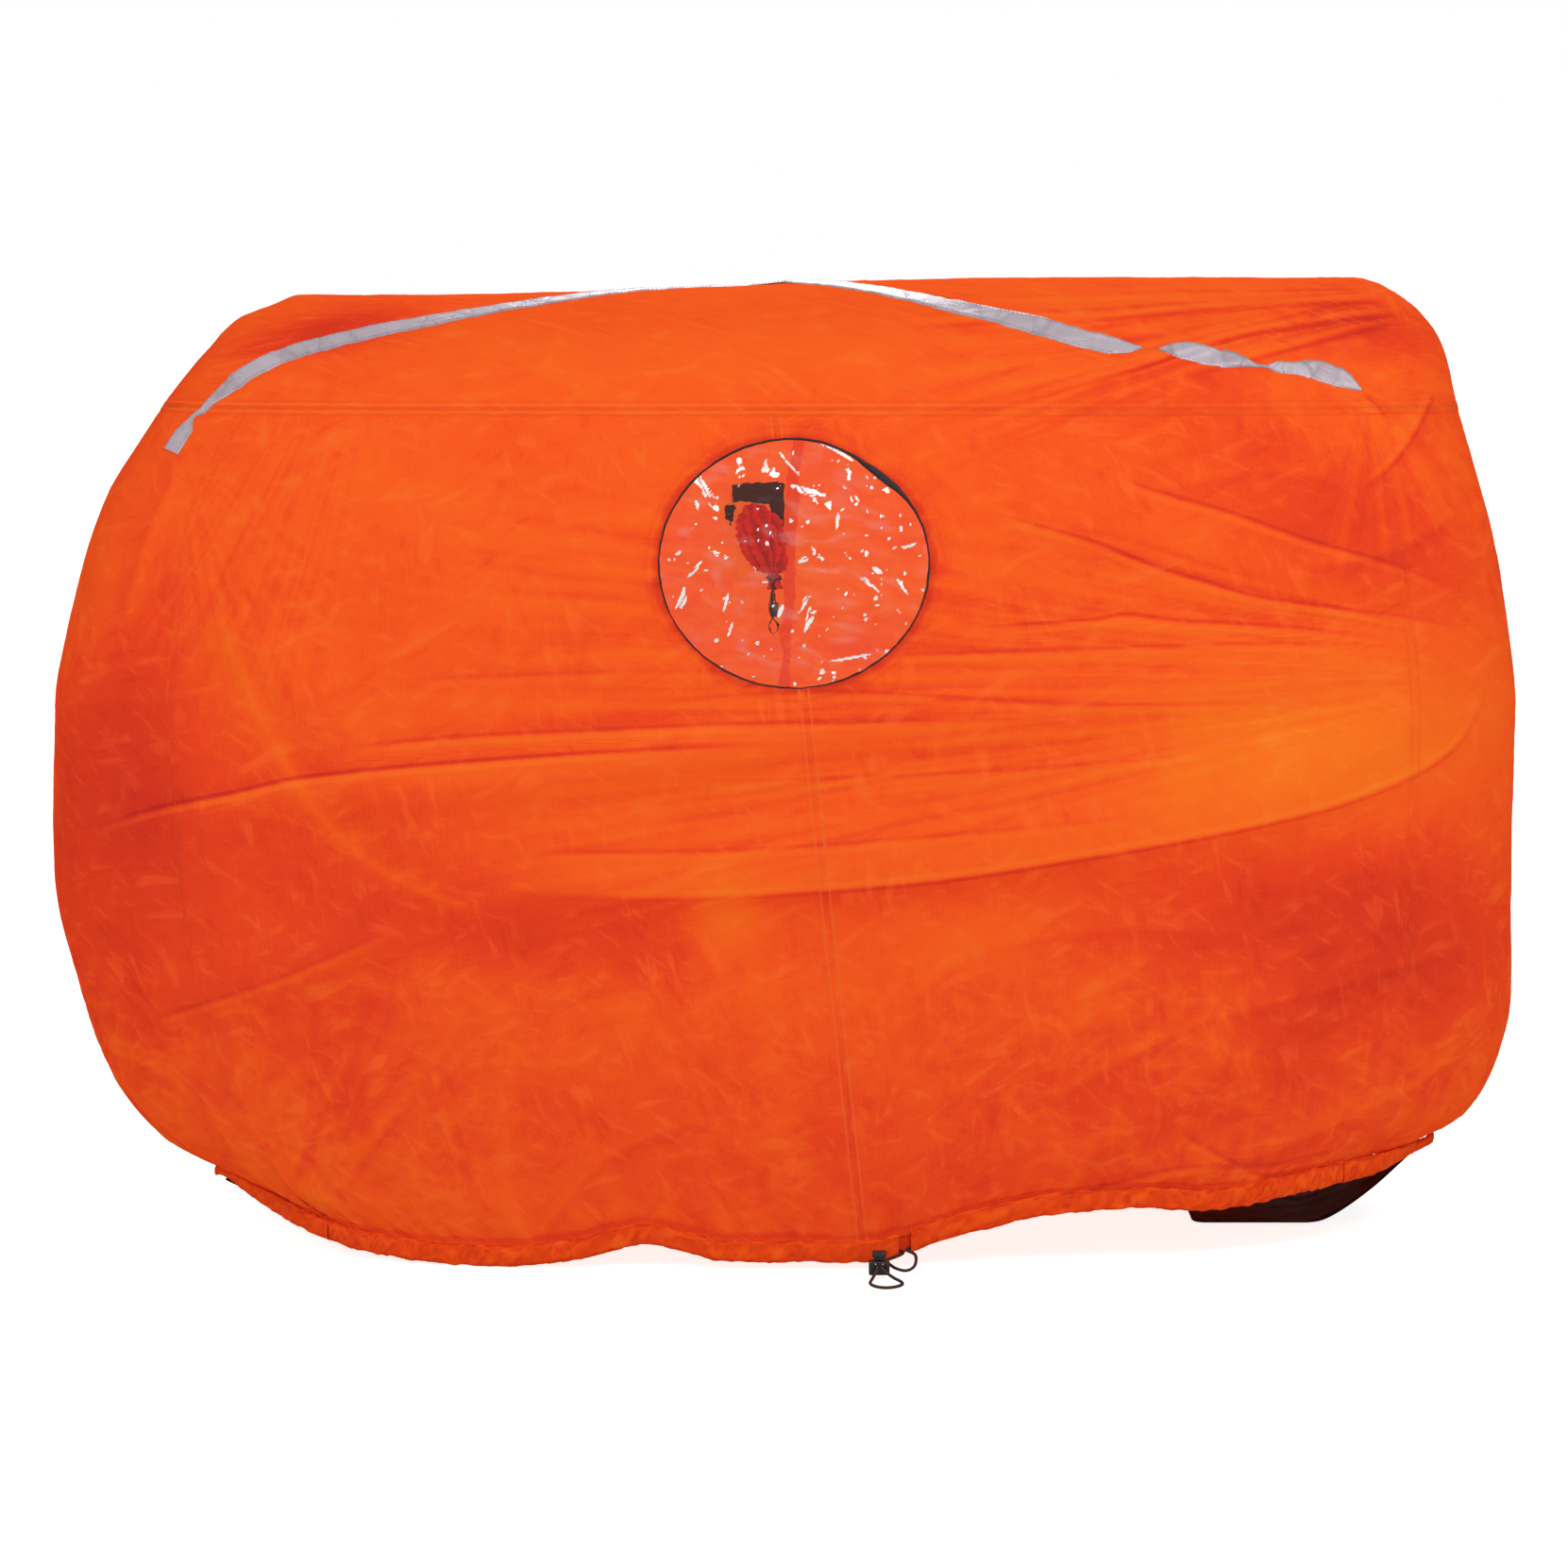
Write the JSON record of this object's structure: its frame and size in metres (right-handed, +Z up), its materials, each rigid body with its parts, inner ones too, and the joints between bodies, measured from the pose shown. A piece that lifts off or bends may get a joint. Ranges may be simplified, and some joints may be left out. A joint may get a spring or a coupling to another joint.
{
  "type": "bothy bag",
  "caption": "Orange emergency shelter bag standing as in use, with a round clear window, a gathered vent, reflective roof tapes, drawcord hem and black seat panels.",
  "frame": {"origin": "middle of the footprint, on the ground, the free cord loop and its lock left out", "axes": "+X along the window wall to the right as one faces it, +Y from the window wall to the back wall, +Z up"},
  "size_m": [1.3823, 0.5351, 0.9005],
  "materials": {
    "cloth": "orange coated ripstop nylon",
    "hem": "orange coated nylon, doubled",
    "seam_tape": "orange seam binding",
    "reflective_tape": "grey retroreflective tape",
    "pane": "clear flexible film",
    "black_cloth": "black coated woven cloth",
    "grey_tape": "dark grey woven tape",
    "cord": "black braided cord",
    "plastic": "black moulded plastic",
    "spring_steel": "spring wire"
  },
  "bodies": {
    "shelter": {"front_panel_left": "cloth", "front_panel_right": "cloth", "back_panel_left": "cloth", "back_panel_right": "cloth", "end_panel_left": "cloth", "end_panel_right": "cloth", "roof_panel": "cloth", "vent_sleeve": "cloth", "window_pane": "pane", "window_binding": "black_cloth", "front_seam_tape_upper": "seam_tape", "front_seam_tape_lower": "seam_tape", "back_seam_tape": "seam_tape", "front_left_corner_tape": "seam_tape", "front_right_corner_tape": "seam_tape", "back_right_corner_tape": "seam_tape", "back_left_corner_tape": "seam_tape", "roof_seam_tape": "seam_tape", "reflective_tape_left": "reflective_tape", "reflective_tape_right": "reflective_tape", "front_left_hem": "hem", "front_right_hem": "hem", "right_end_hem": "hem", "back_hem": "hem", "left_end_hem": "hem", "hem_drawcord": "cord", "hem_cord_loop": "cord", "vent_tape": "grey_tape", "vent_cord": "cord", "vent_toggle": "plastic", "vent_toggle_cord": "cord"},
    "hem_lock": {"hem_lock_barrel": "plastic", "hem_lock_spring": "spring_steel"},
    "hem_plunger": {"hem_lock_plunger": "plastic"},
    "vent_lock": {"vent_lock_barrel": "plastic", "vent_lock_spring": "spring_steel"},
    "vent_plunger": {"vent_lock_plunger": "plastic"},
    "seat_right": {"seat_panel_right": "black_cloth"},
    "seat_left": {"seat_panel_left": "black_cloth"}
  },
  "joints": [
    {"name": "hem_lock_slide", "type": "slide", "parent": "shelter", "child": "hem_lock", "axis": [0, -1, 0], "range_m": [-0.01, 0.02], "deforming": ["hem_cord_loop"]},
    {"name": "hem_plunger_press", "type": "slide", "parent": "hem_lock", "child": "hem_plunger", "axis": [0, 0, -1], "range_m": [0, 0.003], "stiffness_N_per_m": 600, "springref_m": -0.003, "deforming": ["hem_lock_spring"]},
    {"name": "vent_lock_slide", "type": "slide", "parent": "shelter", "child": "vent_lock", "axis": [0, 0, 1], "range_m": [-0.002, 0.01]},
    {"name": "vent_plunger_press", "type": "slide", "parent": "vent_lock", "child": "vent_plunger", "axis": [0, 1, 0], "range_m": [0, 0.002], "stiffness_N_per_m": 400, "springref_m": -0.002, "deforming": ["vent_lock_spring"]},
    {"name": "right_seat_fold", "type": "hinge", "parent": "shelter", "child": "seat_right", "pos_m": [0.6122, 0, 0.077], "axis": [0, 1, 0], "range_deg": [0, 70]},
    {"name": "left_seat_fold", "type": "hinge", "parent": "shelter", "child": "seat_left", "pos_m": [-0.5365, 0, 0.041], "axis": [0, -1, 0], "range_deg": [0, 70]}
  ]
}
